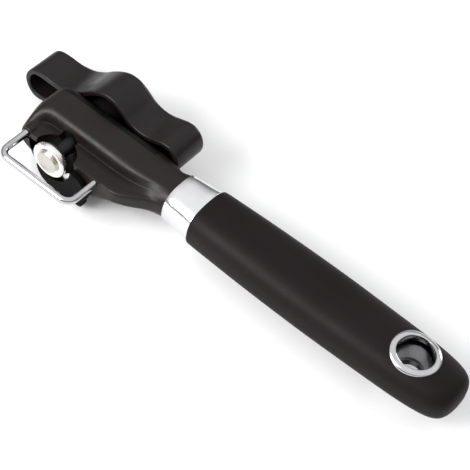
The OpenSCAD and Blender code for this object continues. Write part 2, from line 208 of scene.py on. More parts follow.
# ---- meshes ---------------------------------------------------------------------------
def to_object(name, bm, sharp_over=38):
    """A new object from a bmesh in metres, smooth but for edges sharper than sharp_over degrees."""
    bmesh.ops.recalc_face_normals(bm, faces=bm.faces)
    mesh = bpy.data.meshes.new(name)
    bm.to_mesh(mesh)
    bm.free()
    obj = bpy.data.objects.new(name, mesh)
    bpy.context.scene.collection.objects.link(obj)
    shade(obj, sharp_over)
    return obj


def shade(obj, sharp_over=38):
    obj.data.polygons.foreach_set("use_smooth", [True] * len(obj.data.polygons))
    obj.data.set_sharp_from_angle(angle=math.radians(sharp_over))


def loft(name, rings, loop=False, sharp_over=38):
    """Rings of [x, y, z] points in millimetres joined into a skin. loop joins the last ring to the first."""
    bm = bmesh.new()
    rows = [[bm.verts.new(Vector(p) * MM) for p in ring] for ring in rings]
    count = len(rows[0])
    following = rows[1:] + rows[:1] if loop else rows[1:]
    for row, after in zip(rows, following):
        for i in range(count):
            k = (i + 1) % count
            bm.faces.new((row[i], row[k], after[k], after[i]))
    if not loop:
        bm.faces.new(rows[0])
        bm.faces.new(rows[-1])
    return to_object(name, bm, sharp_over)


def circle(radius, y, x=0.0, z=0.0, count=96):
    """A ring of points round an axis along Y."""
    return [
        (x + radius * math.cos(math.tau * i / count), y, z + radius * math.sin(math.tau * i / count))
        for i in range(count)
    ]


def lathe(name, profile, x=0.0, z=0.0, loop=False, count=96, sharp_over=38):
    """A turned part round an axis along Y. The profile is a list of (radius, y)."""
    return loft(name, [circle(r, y, x, z, count) for r, y in profile], loop, sharp_over)


def rod(radius, y0, y1, x=0.0, z=0.0, count=96):
    """A plain cylinder for cutting and joining."""
    return lathe("rod", [(radius, y0), (radius, y1)], x, z, count=count)


def block(x0, x1, y0, y1, z0, z1):
    """A plain box for cutting and joining."""
    corners = [(x0, z0), (x1, z0), (x1, z1), (x0, z1)]
    return loft("block", [[(x, y, z) for x, z in corners] for y in (y0, y1)])


def combine(target, other, operation, sharp_over=38):
    """Joins or cuts the target with another object, which is used up."""
    step = target.modifiers.new("step", "BOOLEAN")
    step.operation = operation
    step.object = other
    step.solver = "EXACT"
    graph = bpy.context.evaluated_depsgraph_get()
    result = bpy.data.meshes.new_from_object(target.evaluated_get(graph))
    target.modifiers.clear()
    target.data = result
    bpy.data.objects.remove(other)
    shade(target, sharp_over)


def soften(obj, width):
    """Rounds an object's sharp edges, by a width in millimetres."""
    weld = obj.modifiers.new("weld", "WELD")
    weld.merge_threshold = 0.002 * MM
    bevel = obj.modifiers.new("edges", "BEVEL")
    bevel.width = width * MM
    bevel.segments = 2
    bevel.limit_method = "ANGLE"
    bevel.angle_limit = math.radians(40)
    bevel.harden_normals = True


# ---- materials ------------------------------------------------------------------------
class Surface:
    """A material built round one Principled shader, with patterns sized in millimetres."""

    def __init__(self, name):
        self.material = bpy.data.materials.new(name)
        self.material.use_nodes = True
        self.tree = self.material.node_tree
        self.shader = self.tree.nodes["Principled BSDF"]
        self.place = self.tree.nodes.new("ShaderNodeTexCoord").outputs["Object"]

    def add(self, kind, **inputs):
        node = self.tree.nodes.new(kind)
        for name, value in inputs.items():
            self.put(node.inputs[name.replace("_", " ")], value)
        return node

    def put(self, socket, value):
        if isinstance(value, bpy.types.NodeSocket):
            self.tree.links.new(value, socket)
        else:
            socket.default_value = value

    def stretched(self, stretch):
        return self.add("ShaderNodeMapping", Vector=self.place, Scale=stretch).outputs["Vector"]

    def noise(self, size, detail=3.0, stretch=(1, 1, 1)):
        """Soft noise whose patches are about size millimetres across."""
        node = self.add(
            "ShaderNodeTexNoise",
            Vector=self.stretched(stretch),
            Scale=1 / (size * MM),
            Detail=detail,
            Roughness=0.5,
        )
        return node.outputs["Fac"]

    def cells(self, size):
        """Distance to the nearest of many scattered points, about size millimetres apart."""
        node = self.add("ShaderNodeTexVoronoi", Vector=self.place, Scale=1 / (size * MM))
        return node.outputs["Distance"]

    def spread(self, value, low_in, high_in, low_out, high_out):
        """The value's range from low_in to high_in, moved to low_out to high_out."""
        limits = {"From_Min": low_in, "From_Max": high_in, "To_Min": low_out, "To_Max": high_out}
        return self.add("ShaderNodeMapRange", Value=value, **limits).outputs["Result"]

    def blend(self, share, first, second):
        """A colour between two colours."""
        node = self.tree.nodes.new("ShaderNodeMix")
        node.data_type = "RGBA"
        for socket, value in ((node.inputs[0], share), (node.inputs[6], first), (node.inputs[7], second)):
            self.put(socket, value if isinstance(value, (float, bpy.types.NodeSocket)) else (*value, 1))
        return node.outputs[2]

    def calc(self, operation, first, second):
        """One step of arithmetic, such as ADD or MULTIPLY."""
        node = self.tree.nodes.new("ShaderNodeMath")
        node.operation = operation
        self.put(node.inputs[0], first)
        self.put(node.inputs[1], second)
        return node.outputs[0]

    def bump(self, height, depth, after=None):
        """Raises the surface by up to depth millimetres."""
        node = self.add("ShaderNodeBump", Height=height, Distance=depth * MM, Strength=1.0)
        if after is not None:
            self.tree.links.new(after, node.inputs["Normal"])
        return node.outputs["Normal"]

    def edges(self):
        """1 on the object's own sharp outer edges, 0 elsewhere."""
        geometry = self.tree.nodes.new("ShaderNodeNewGeometry")
        return self.spread(geometry.outputs["Pointiness"], 0.52, 0.58, 0.0, 1.0)

    def painted_eyelet_shade(self):
        """Painted shade: 1 on the inner wall of the eyelet's rim and at the liner's two ends, 0 elsewhere.
        """
        parts = self.tree.nodes.new("ShaderNodeSeparateXYZ")
        self.tree.links.new(self.place, parts.inputs[0])
        centre = (EYE_X, HANDLE_Y, HANDLE_Z)
        x, y, z = (self.calc("SUBTRACT", parts.outputs[k], centre[k] * MM) for k in range(3))
        squares = self.calc("ADD", self.calc("MULTIPLY", x, x), self.calc("MULTIPLY", y, y))
        radius = self.calc("POWER", squares, 0.5)
        # each pair is where the painted shade starts and where it is full, from the eyelet's centre
        near = self.spread(radius, 7.4 * MM, 7.15 * MM, 0.0, 1.0)
        under_rim = self.spread(z, 7.9 * MM, 7.2 * MM, 0.0, 1.0)
        over_liner = self.spread(z, 4.0 * MM, 4.9 * MM, 0.0, 1.0)
        lower_end = self.spread(z, -3.2 * MM, -4.0 * MM, 0.0, 1.0)
        ends = self.calc("MAXIMUM", self.calc("MULTIPLY", under_rim, over_liner), lower_end)
        return self.calc("MULTIPLY", near, ends)

    def finish(self, colour, roughness, normal=None, **fixed):
        self.put(self.shader.inputs["Base Color"], colour)
        self.put(self.shader.inputs["Roughness"], roughness)
        if normal is not None:
            self.put(self.shader.inputs["Normal"], normal)
        for name, value in fixed.items():
            self.shader.inputs[name.replace("_", " ")].default_value = value
        return self.material


def moulded_plastic(name, dark, pale, rough, grain, grain_depth, wear_and_highlight=0.25, specular=0.5):
    """Dark moulded plastic: a fine spark-eroded grain, faint flow clouds, and edges paler from wear and a
    painted highlight.
    """
    s = Surface(name)
    clouds = s.noise(9, detail=4)
    # paler sharp edges: partly wear, partly a painted highlight
    edge_wear_and_highlight = s.calc("MULTIPLY", s.edges(), s.noise(2.2, detail=5))
    colour = s.blend(clouds, dark, pale)
    colour = s.blend(s.calc("MULTIPLY", edge_wear_and_highlight, wear_and_highlight), colour, tuple(3 * c for c in pale))
    roughness = s.spread(s.noise(4, detail=6), 0.3, 0.7, rough - 0.05, rough + 0.05)
    fine = s.bump(s.noise(grain, detail=2), grain_depth)
    normal = s.bump(s.noise(14, detail=1), 0.03, fine)
    return s.finish(colour, roughness, normal, Specular_IOR_Level=specular)


def soft_rubber(name, dark, pale, rough):
    """Soft-touch rubber: matt, with a very fine pebbled skin and slight handling marks."""
    s = Surface(name)
    marks = s.noise(16, detail=5, stretch=(0.4, 1, 1))
    colour = s.blend(s.spread(marks, 0.35, 0.7, 0.0, 1.0), dark, pale)
    pebbles = s.bump(s.cells(0.42), 0.018)
    normal = s.bump(s.noise(0.9, detail=3), 0.012, pebbles)
    roughness = s.spread(marks, 0.3, 0.7, rough + 0.04, rough - 0.05)
    return s.finish(colour, roughness, normal, Specular_IOR_Level=0.14)


# the near-black painted as shade inside the eyelet
EYELET_PAINTED_SHADE = (0.004, 0.004, 0.004)


def polished_metal(name, dark, pale, rough, scratch=(1, 1, 1), depth=0.0012, lay=0.5, eyelet=False):
    """Plated or polished steel: hairline scratches along one direction and faint hazy patches."""
    s = Surface(name)
    haze = s.noise(5, detail=4)
    hairs = s.noise(lay, detail=2, stretch=scratch)
    colour = s.blend(haze, dark, pale)
    # painted shade on the eyelet's inner rim and at the liner's ends
    if eyelet:
        colour = s.blend(s.painted_eyelet_shade(), colour, EYELET_PAINTED_SHADE)
    hazy = s.spread(haze, 0.3, 0.7, rough * 0.8, rough * 1.3)
    roughness = s.calc("ADD", hazy, s.spread(hairs, 0.4, 0.7, 0.0, rough * 0.35))
    normal = s.bump(s.noise(8, detail=1), 0.004, s.bump(hairs, depth))
    return s.finish(colour, roughness, normal, Metallic=1.0)


def plain_steel(name, dark, pale, rough):
    """Pressed or turned steel that isn't polished: mottled, with small pits."""
    s = Surface(name)
    mottle = s.noise(1.6, detail=5)
    colour = s.blend(mottle, dark, pale)
    pits = s.spread(s.cells(0.7), 0.0, 0.25, 0.0, 1.0)
    normal = s.bump(pits, 0.006, s.bump(s.noise(0.5, detail=3), 0.006))
    roughness = s.spread(mottle, 0.3, 0.7, rough - 0.07, rough + 0.08)
    return s.finish(colour, roughness, normal, Metallic=1.0)


HEAD_PLASTIC = moulded_plastic(
    "head_plastic", (0.0072, 0.0044, 0.0043), (0.0100, 0.0064, 0.0062), 0.41, 0.75, 0.035, specular=0.25
)
COVER_PLASTIC = moulded_plastic(
    "cover_plastic", (0.0030, 0.0027, 0.0027), (0.0050, 0.0045, 0.0045), 0.42, 0.5, 0.02, specular=0.12
)
# a darker copy of the black plastic for the cutter cover: painted shade below the hub
CUTTER_COVER_PAINTED_SHADE = moulded_plastic(
    "cutter_cover_painted_shade", (0.0016, 0.0015, 0.0015), (0.0028, 0.0026, 0.0026), 0.5, 0.4, 0.015, specular=0.05
)
KNOB_PLASTIC = moulded_plastic(
    "knob_plastic", (0.0062, 0.0040, 0.0044), (0.0088, 0.0062, 0.0066), 0.35, 0.45, 0.01, 0.45, specular=0.25
)
GRIP_RUBBER = soft_rubber("grip_rubber", (0.0056, 0.0034, 0.0037), (0.0088, 0.0058, 0.0062), 0.56)
WIRE_CHROME = polished_metal("wire_chrome", (0.42, 0.42, 0.43), (0.56, 0.56, 0.57), 0.1)
# the rim gets painted shade on its inner wall
RING_CHROME = polished_metal("ring_chrome", (0.46, 0.46, 0.47), (0.62, 0.62, 0.63), 0.1, eyelet=True)
BAND_STEEL = polished_metal(
    "band_steel", (0.68, 0.68, 0.69), (0.80, 0.80, 0.81), 0.17, scratch=(9, 1, 1), depth=0.0016, lay=1.2
)
HUB_STEEL = polished_metal("hub_steel", (0.78, 0.745, 0.71), (0.9, 0.865, 0.83), 0.2, depth=0.002)
# a darker copy of the hub's steel: painted shade that tones down the button's highlight
BUTTON_PAINTED_SHADE_STEEL = polished_metal("button_painted_shade_steel", (0.50, 0.475, 0.445), (0.64, 0.61, 0.57), 0.27, depth=0.002)
# the liner gets painted shade at its two ends
TUBE_METAL = polished_metal(
    "tube_metal", (0.16, 0.16, 0.17), (0.24, 0.24, 0.25), 0.22, scratch=(1, 1, 6), eyelet=True
)
WHEEL_STEEL = plain_steel("wheel_steel", (0.12, 0.12, 0.125), (0.22, 0.22, 0.225), 0.36)
CUTTER_STEEL = polished_metal("cutter_steel", (0.6, 0.6, 0.6), (0.72, 0.71, 0.7), 0.2)
# the bush's steel is painted near-black: painted shade in the hollow round the axle
BUSH_PAINTED_SHADE = plain_steel("bush_steel", (0.012, 0.012, 0.013), (0.03, 0.03, 0.032), 0.45)
PLATE_STEEL = plain_steel("plate_steel", (0.36, 0.36, 0.37), (0.5, 0.5, 0.51), 0.33)
PIN_STEEL = plain_steel("pin_steel", (0.38, 0.38, 0.39), (0.52, 0.52, 0.53), 0.3)
WASHER_BRASS = plain_steel("washer_brass", (0.5, 0.36, 0.14), (0.64, 0.47, 0.2), 0.3)
WASHER_NYLON = moulded_plastic(
    "washer_nylon", (0.005, 0.005, 0.005), (0.008, 0.008, 0.008), 0.4, 0.3, 0.01, specular=0.2
)
SCREW_STEEL = plain_steel("screw_steel", (0.26, 0.26, 0.27), (0.4, 0.4, 0.41), 0.3)
# the axle's steel is painted near-black: painted shade in the hollow behind the hub
AXLE_PAINTED_SHADE = polished_metal("axle_steel", (0.02, 0.02, 0.021), (0.04, 0.04, 0.042), 0.4)
INSERT_STEEL = plain_steel("insert_steel", (0.4, 0.37, 0.3), (0.52, 0.49, 0.41), 0.36)
CLIP_STEEL = plain_steel("clip_steel", (0.14, 0.14, 0.15), (0.24, 0.24, 0.25), 0.3)
CORE_PLASTIC = moulded_plastic(
    "core_plastic", (0.02, 0.02, 0.02), (0.03, 0.03, 0.03), 0.5, 0.4, 0.015
)


def show(obj, material, body, slot, *nodes):
    """Gives a piece its finish and its body, and hides the CAD nodes that it stands for."""
    obj.data.materials.clear()
    obj.data.materials.append(material)
    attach(obj, body)
    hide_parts(*nodes)


def keep(node, material, edge):
    """A CAD node whose shape is right: it gets its material and softened edges."""
    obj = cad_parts[node]
    obj.data.materials.clear()
    obj.data.materials.append(material)
    soften(obj, edge)


# ---- head -----------------------------------------------------------------------------
# The head's section: (y, z) round the front, the underside, the back and the top.
HEAD_SECTION = [
    (-1.3, -1), (-1.3, -6), (0.6, -10.3), (3.6, -12.9), (7.5, -13.7), (12, -13.9), (17, -13.4),
    (21.6, -11.8), (24.6, -8), (25.3, -2), (25, 5), (23.9, 7.9), (21.6, 9), (16, 9.05), (12.1, 9.05),
]
# From the top down to the front face: a wall over a flat ledge, and a plain slope.
FRONT_LEDGE = [
    (10.6, 8.75), (9.4, 7.85), (8.8, 6.8), (8.65, 5.4), (8.6, 4), (8.55, 3.2), (8, 2.95),
    (4.5, 2.85), (-0.7, 2.6),
]
FRONT_SLOPE = [
    (10.6, 8.75), (9, 8.1), (7.5, 7.2), (6.1, 6.2), (4.8, 5.2), (3.5, 4.2), (2.2, 3.1),
    (0.8, 1.8), (-0.7, 0.3),
]
# x, share of the oval neck, underside's share, top's share, front set back, back set in, ledge's share
HEAD_STATIONS = [
    (-19, 0, 0.2, 0.4, 5.4, 4.6, 0), (-18.4, 0, 0.34, 0.62, 3.4, 2.8, 0),
    (-17.4, 0, 0.43, 0.78, 1.7, 1.5, 0), (-16, 0, 0.52, 0.89, 0.6, 0.6, 0.15),
    (-14, 0, 0.61, 0.96, 0.1, 0.1, 0.45), (-11.5, 0, 0.68, 1, 0, 0, 0.85), (-8, 0, 0.77, 1, 0, 0, 1),
    (-4, 0, 0.91, 1, 0, 0, 1), (0, 0, 1, 1, 0, 0, 1), (8, 0, 1, 1, 0, 0, 1), (13, 0, 0.96, 1, 0, 0, 1),
    (17, 0.03, 0.87, 1, 0, 0, 1), (21, 0.12, 0.77, 1, 0, 0, 1), (25, 0.26, 0.69, 1, 0, 0, 1),
    (29, 0.43, 0.64, 1, 0, 0, 1), (33, 0.62, 0.6, 1, 0, 0, 1), (38, 0.84, 0.56, 1, 0, 0.8, 1),
    (41.5, 0.94, 0.54, 1, 0, 1.5, 1), (BAND_X0, 1, 0.53, 1, 0, 0, 1),
]
# Y and Z of the middle of the section, from which its points are spread round the neck's oval,
# and how far Y and Z are stretched for that
SECTION_MID = (12.5, 0.5)
SECTION_STRETCH = (0.85, 1.1)
NECK_BEGINS = 0.3
FRONT_HALF = 12
HEAD_SHARP = 50
NECK_HALF_WIDTH = 9.25
NECK_HALF_HEIGHT = 7.75
FACE_EDGE = 0.35
RIDGE_LASTS = 2.2
NECK_CORNER = 1.6
BOSS_R = 13.6
BOSS_DEPTH = 6.0
RELIEF_R = KNOB_HALF + 2.1


def held_above(value, floor, radius):
    """The value, turned smoothly to stay at or above a floor."""
    if value >= floor + radius:
        return value
    if value <= floor - radius:
        return floor
    return floor + (value - floor + radius) ** 2 / (4 * radius)


def smooth(t):
    """0 below 0, 1 above 1, and a soft rise between."""
    t = min(1.0, max(0.0, t))
    return t * t * (3 - 2 * t)


def head_section(ledge):
    """The head's section with a share of the ledge in its front."""
    front = [tuple(mix(a, b, ledge) for a, b in zip(p, q)) for p, q in zip(FRONT_SLOPE, FRONT_LEDGE)]
    return closed_curve(HEAD_SECTION + front, 6)


def head_point(section, station):
    """One point of the head's skin: the section, turning into the neck's oval towards the band."""
    y, z = section
    x, neck_share, under, top, front_back, back_in = station[:6]
    # the front ridge turns into the oval later than the rest
    on_ridge = smooth((FRONT_HALF - y) / 4) * smooth((z + 8) / 6)
    neck = mix(neck_share, max(0.0, neck_share) ** RIDGE_LASTS, on_ridge)
    from_y, from_z = ((p - mid) * k for p, mid, k in zip(section, SECTION_MID, SECTION_STRETCH))
    angle = math.atan2(from_z, from_y)
    c, s = math.cos(angle), math.sin(angle)
    power = 2 / (OVAL_POWER + NECK_CORNER * (1 - neck_share))
    neck_y = NECK_HALF_WIDTH * math.copysign(abs(c) ** power, c)
    neck_z = NECK_HALF_HEIGHT * math.copysign(abs(s) ** power, s)
    set_y = y * (HEAD_DEPTH - front_back - back_in) / HEAD_DEPTH + front_back
    out_y = mix(set_y, HANDLE_Y + neck_y, neck)
    if y > FRONT_HALF:
        out_y -= back_in * neck
    out_z = mix(z * (under if z < 0 else top), HANDLE_Z + neck_z, neck)
    out_y = held_above(out_y, 0, FACE_EDGE)
    # From NECK_BEGINS on the back isn't held flat. The back cover bulges there, behind the CAD's cover
    # and into the knob's shell: a known fault.
    back_room = HEAD_DEPTH - out_y
    if neck < NECK_BEGINS:
        back_room = held_above(back_room, 0, FACE_EDGE)
    return (x, HEAD_DEPTH - back_room, out_z)


def head_skin(name):
    """The head's whole outer form, from its far end to the band."""
    rings = [[head_point(p, s) for p in head_section(s[6])] for s in open_curve(HEAD_STATIONS, 5)]
    centre = [sum(p[i] for p in rings[0]) / len(rings[0]) for i in range(3)]
    nose = [
        [(centre[0] - out, mix(centre[1], p[1], k), mix(centre[2], p[2], k)) for p in rings[0]]
        for k, out in ((0.35, 0.16), (0.7, 0.13), (0.9, 0.07))
    ]
    return loft(name, nose + rings, sharp_over=HEAD_SHARP)


def axle_place(swing):
    """X and Z of the drive axle when the bush has swung by an angle in degrees."""
    c, s = math.cos(math.radians(swing)), math.sin(math.radians(swing))
    return BUSH_X * (1 - c) + BUSH_Z * s, BUSH_Z * (1 - c) - BUSH_X * s


def screw_bore(x, z):
    return rod(SCREW_R, 8, HEAD_DEPTH + 1, x, z, 32)


def stop_pin_bore():
    return rod(STOP_PIN_R, 16, HEAD_DEPTH + 2, PIN_X, PIN_Z, 32)


def head_bores():
    """Cutters for what passes through the head."""
    yield rod(BUSH_R + RUN_GAP, BUSH_Y0 - 0.1, HEAD_DEPTH + 4, BUSH_X, BUSH_Z)
    for swing in SWINGS:
        yield rod(AXLE_R + AXLE_ROOM, -4, BUSH_Y0, *axle_place(swing))
    yield rod(WIRE_R, -6, PLATE_Y0, LEG_FAR_X, WIRE_Z)
    yield rod(WIRE_R, -6, PLATE_Y0, LEG_NEAR_X, WIRE_Z)
    yield rod(STUD_R, -6, PLATE_Y1, CUTTER_X, CUTTER_Z)
    for place in SCREWS:
        yield screw_bore(*place)
    yield stop_pin_bore()


def round_hollow():
    """A ball for the hollow round the drive axle, on the front of the head."""
    angles = [math.pi * k / HOLLOW_STEPS for k in range(HOLLOW_STEPS + 1)]
    profile = [(max(HOLLOW_R * math.sin(a), 0.01), HOLLOW_Y - HOLLOW_R * math.cos(a)) for a in angles]
    return lathe("hollow", profile)


def cut(target, *cutters):
    """Cuts the head or its cover with each cutter in turn."""
    for cutter in cutters:
        combine(target, cutter, "DIFFERENCE", HEAD_SHARP)


def build_head():
    head = head_skin("head_shell")
    boss_edge = 0.6
    profile = [
        (BOSS_R - boss_edge, 0), (BOSS_R - 0.3 * boss_edge, 0.1), (BOSS_R, boss_edge), (BOSS_R, BOSS_DEPTH),
    ]
    boss = lathe("boss", profile, count=128)
    combine(boss, block(-20, 20, -5, 10, 0, 20), "DIFFERENCE")
    combine(head, boss, "UNION", HEAD_SHARP)
    cut(head, block(-31, COVER_X1, COVER_Y - PARTING_GAP, 60, -31, 31))
    cut(head, rod(RELIEF_R, HEAD_DEPTH + 0.4, HEAD_DEPTH + 12, count=160))
    cut(head, *head_bores(), round_hollow())
    cut(head, rod(SLEEVE_R, -1, 8, LEG_FAR_X, WIRE_Z), rod(COLLAR_R, -1, 4, LEG_NEAR_X, WIRE_Z))
    show(head, HEAD_PLASTIC, "handle", "head_plastic", "head_body")


def build_back_cover():
    cover = head_skin("head_back_cover")
    cut(cover, block(-40, 60, -20, COVER_Y, -40, 40), block(COVER_X1 - PARTING_GAP, 80, 0, 60, -40, 40))
    cut(cover, rod(BUSH_R + RUN_GAP, -4, HEAD_DEPTH + 4, BUSH_X, BUSH_Z), stop_pin_bore())
    for x, z in SCREWS:
        recess = rod(SCREW_HEAD_R, HEAD_DEPTH - SCREW_HEAD_DEPTH, HEAD_DEPTH + 1, x, z, 48)
        cut(cover, screw_bore(x, z), recess)
    show(cover, COVER_PLASTIC, "handle", "cover_plastic", "back_cover")


def build_leg_seats():
    """The sleeve and the collar that the wire's two legs come out of."""
    seats = (
        ("wire_leg_sleeve", "leg_sleeve", SLEEVE_R, LEG_FAR_X),
        ("wire_leg_collar", "leg_collar", COLLAR_R, LEG_NEAR_X),
    )
    for name, node, radius, x in seats:
        y0, y1 = low(node, "y"), high(node, "y")
        profile = [
            (WIRE_R, y0 + 0.12), (WIRE_R + 0.12, y0), (radius - 0.35, y0), (radius - 0.1, y0 + 0.12),
            (radius, y0 + 0.4), (radius, y1), (WIRE_R, y1),
        ]
        seat = lathe(name, profile, x, WIRE_Z, loop=True)
        # the collar is cut flush with the head
        if node == "leg_collar":
            combine(seat, head_skin("skin"), "INTERSECT")
        show(seat, HEAD_PLASTIC, "handle", "head_plastic", node)


# ---- wire guide -----------------------------------------------------------------------
BEND_STEPS = 16
WIRE_SIDES = 40


def wire_bend(x, start, turn):
    """One quarter bend round (x, WIRE_OUT + turn): points [x, y, heading in degrees]."""
    made = []
    for k in range(BEND_STEPS + 1):
        swept = 90 * k / BEND_STEPS
        a = math.radians(start + swept)
        made.append((x + turn * math.cos(a), WIRE_OUT + turn + turn * math.sin(a), start - 270 + swept))
    return made


def build_wire():
    turn = WIRE_BEND + WIRE_R
    inner_y = PLATE_Y0 - 0.02
    path = [
        (LEG_FAR_X, inner_y, -90.0), *wire_bend(LEG_FAR_X + turn, 180, turn),
        *wire_bend(LEG_NEAR_X - turn, 270, turn), (LEG_NEAR_X, inner_y, 90.0),
    ]
    up = Vector((0, 0, 1))
    angles = [math.tau * i / WIRE_SIDES for i in range(WIRE_SIDES)]
    rings = []
    for x, y, heading in path:
        side = Vector((-math.sin(math.radians(heading)), math.cos(math.radians(heading)), 0))
        on_axis = Vector((x, y, WIRE_Z))
        rings.append([on_axis + WIRE_R * (math.cos(a) * side + math.sin(a) * up) for a in angles])
    show(loft("bent_wire", rings), WIRE_CHROME, "handle", "wire_chrome", "wire_guide")


# ---- drive ----------------------------------------------------------------------------
TEETH = 32
WHEEL_R = 6.3
TOOTH_DEPTH = 0.55


def build_hub():
    back, front = high("hub_flange", "y"), low("hub_flange", "y")
    r = HUB_R
    flange = [
        (AXLE_R, back), (r - 0.25, back), (r - 0.06, back - 0.08), (r, back - 0.28), (r, front + 0.75),
        (r - 0.09, front + 0.5), (r - 0.34, front + 0.2), (r - 0.75, front + 0.03), (r - 1.1, front),
        (BUTTON_R + 0.75, front + 0.02), (BUTTON_R + 0.5, front + 0.2), (BUTTON_R + 0.1, front + 0.3),
        (AXLE_R, front + 0.3),
    ]
    flange = lathe("drive_hub_flange", flange, loop=True, count=128)
    show(flange, HUB_STEEL, "drive", "hub_steel", "hub_flange")
    face = low("hub_button", "y")
    b = BUTTON_R
    button = [
        (b, front + 0.28), (b, face + 0.42), (b - 0.08, face + 0.2), (b - 0.3, face + 0.05), (b - 0.6, face),
        (b - 0.85, face + 0.05), (b - 1.0, face + 0.22), (b - 1.2, face + 0.3), (b - 1.5, face + 0.24),
        (b - 2.2, face + 0.17), (b - 3.2, face + 0.13), (b - 4.0, face + 0.12), (0.05, face + 0.12),
    ]
    button = lathe("drive_hub_button", button, count=128)
    show(button, BUTTON_PAINTED_SHADE_STEEL, "drive", "hub_steel", "hub_button")


def build_drive_wheel():
    """Flat-topped teeth with a chamfer on both sides of the wheel."""
    y0, y1 = low("drive_wheel", "y"), high("drive_wheel", "y")
    root = WHEEL_R - TOOTH_DEPTH
    tooth = ((-0.34, root), (-0.08, WHEEL_R), (0.08, WHEEL_R), (0.34, root))
    outline = [(math.tau * (i + share) / TEETH, radius) for i in range(TEETH) for share, radius in tooth]
    bore = (AXLE_R + 0.01) / WHEEL_R
    # the outline's scale and its Y
    rows = ((bore, y1), (0.97, y1), (1, y1 - 0.18), (1, y0 + 0.18), (0.97, y0), (bore, y0))
    rings = [[(k * r * math.cos(a), y, k * r * math.sin(a)) for a, r in outline] for k, y in rows]
    wheel = loft("toothed_drive_wheel", rings, loop=True, sharp_over=25)
    show(wheel, WHEEL_STEEL, "drive", "wheel_steel", "drive_wheel")


def build_cutter():
    mid = (CUTTER_Y0 + CUTTER_Y1) / 2
    hole = STUD_R + RUN_GAP
    profile = [
        (hole, CUTTER_Y0), (CUTTER_R - 1.55, CUTTER_Y0), (CUTTER_R - 1.4, CUTTER_Y0 + 0.05),
        (CUTTER_R, mid - 0.03), (CUTTER_R, mid + 0.03), (CUTTER_R - 1.4, CUTTER_Y1 - 0.05),
        (CUTTER_R - 1.55, CUTTER_Y1), (hole, CUTTER_Y1),
    ]
    wheel = lathe("cutting_wheel", profile, CUTTER_X, CUTTER_Z, loop=True, sharp_over=12)
    show(wheel, CUTTER_STEEL, "cutter", "cutter_steel", "cutter_wheel")


# ---- knob -----------------------------------------------------------------------------
# (x, z) along the knob's upper edge. The lower edge is the same edge turned half round.
KNOB_EDGE = [
    (-40.7, 0.2), (-39.6, 3.9), (-36.8, 6.6), (-33, 7.3), (-29, 6.9), (-24.5, 6.1), (-20, 6.1),
    (-15.5, 7), (-10.5, 9.2), (-5.5, 12.3), (-0.5, 14.6), (4, 15.4), (8.5, 14.4), (12.5, 11.6),
    (16, 8.4), (20, 6.5), (24.5, 6), (29, 6.7), (33, 7.3), (36.8, 6.6), (39.6, 3.9),
]
KNOB_HEIGHT_SHARE = 0.985
KNOB_BOSS_R = 7.4
INSERT_R = 5.0
CAP_SEAT_R = 6.8
RIB_HALF = 0.8
KNOB_SHARP = 50


def build_knob():
    turned = Matrix.Rotation(math.radians(-KNOB_TURNED), 4, "Y")
    wide = KNOB_HALF / KNOB_EDGE_SPAN
    edge = [(x * wide * s, z * KNOB_HEIGHT_SHARE * s) for s in (1, -1) for x, z in KNOB_EDGE]
    outline = closed_curve(edge, 8)
    floor = KNOB_Y1 - 2
    w = KNOB_WALL
    # how far in from the outline, and Y, from the middle of the inside to the middle of the face
    rows = [
        (w + 0.8, floor), (w + 0.3, floor - 0.15), (w + 0.05, floor - 0.55), (w, floor - 1),
        (w, KNOB_Y0 + 0.6), (w - 0.08, KNOB_Y0 + 0.25), (w - 0.35, KNOB_Y0 + 0.04), (w - 0.6, KNOB_Y0),
        (0.6, KNOB_Y0), (0.35, KNOB_Y0 + 0.04), (0.08, KNOB_Y0 + 0.25), (0, KNOB_Y0 + 0.6),
        (0, KNOB_Y0 + 6), (0, KNOB_Y1 - 6), (0, KNOB_Y1 - 1.5), (0.1, KNOB_Y1 - 0.9), (0.38, KNOB_Y1 - 0.42),
        (0.85, KNOB_Y1 - 0.11), (1.4, KNOB_Y1),
    ]
    rings = [[(x, y, z) for x, z in inset(outline, d)] for d, y in rows]
    shell = loft("knob_turning_grip", rings, sharp_over=KNOB_SHARP)
    combine(shell, rod(KNOB_BOSS_R, BOSS_Y0, KNOB_Y1 - 1), "UNION", KNOB_SHARP)
    rib_y0 = BOSS_Y0 + 4
    long_rib = KNOB_HALF - 1.5
    rib = block(-long_rib, long_rib, rib_y0, KNOB_Y1 - 1.1, -RIB_HALF, RIB_HALF)
    combine(shell, rib, "UNION", KNOB_SHARP)
    for x, half in ((-17, 4.8), (0, 12.6), (17, 4.8)):
        rib = block(x - RIB_HALF, x + RIB_HALF, rib_y0 + 0.013, KNOB_Y1 - 1.2, -half, half)
        combine(shell, rib, "UNION", KNOB_SHARP)
    combine(shell, rod(INSERT_R, BOSS_Y0 - 1, KNOB_Y1 + 1), "DIFFERENCE", KNOB_SHARP)
    combine(shell, rod(CAP_SEAT_R, KNOB_Y1 - 0.6, KNOB_Y1 + 1), "DIFFERENCE", KNOB_SHARP)
    shell.data.transform(turned)
    show(shell, KNOB_PLASTIC, "drive", "knob_plastic", "knob_shell")

    face = KNOB_Y1
    cap = [
        (0.05, face - 4.0), (4.6, face - 4.0), (4.98, face - 3.7), (4.98, face - 0.58), (6.6, face - 0.58),
        (6.74, face - 0.5), (6.74, face - 0.16), (6.6, face - 0.03), (6.3, face), (5.2, face - 0.02),
        (4.6, face - 0.12), (3.0, face - 0.26), (0.05, face - 0.3),
    ]
    show(lathe("knob_centre_cap", cap), KNOB_PLASTIC, "drive", "knob_plastic", "knob_cap")


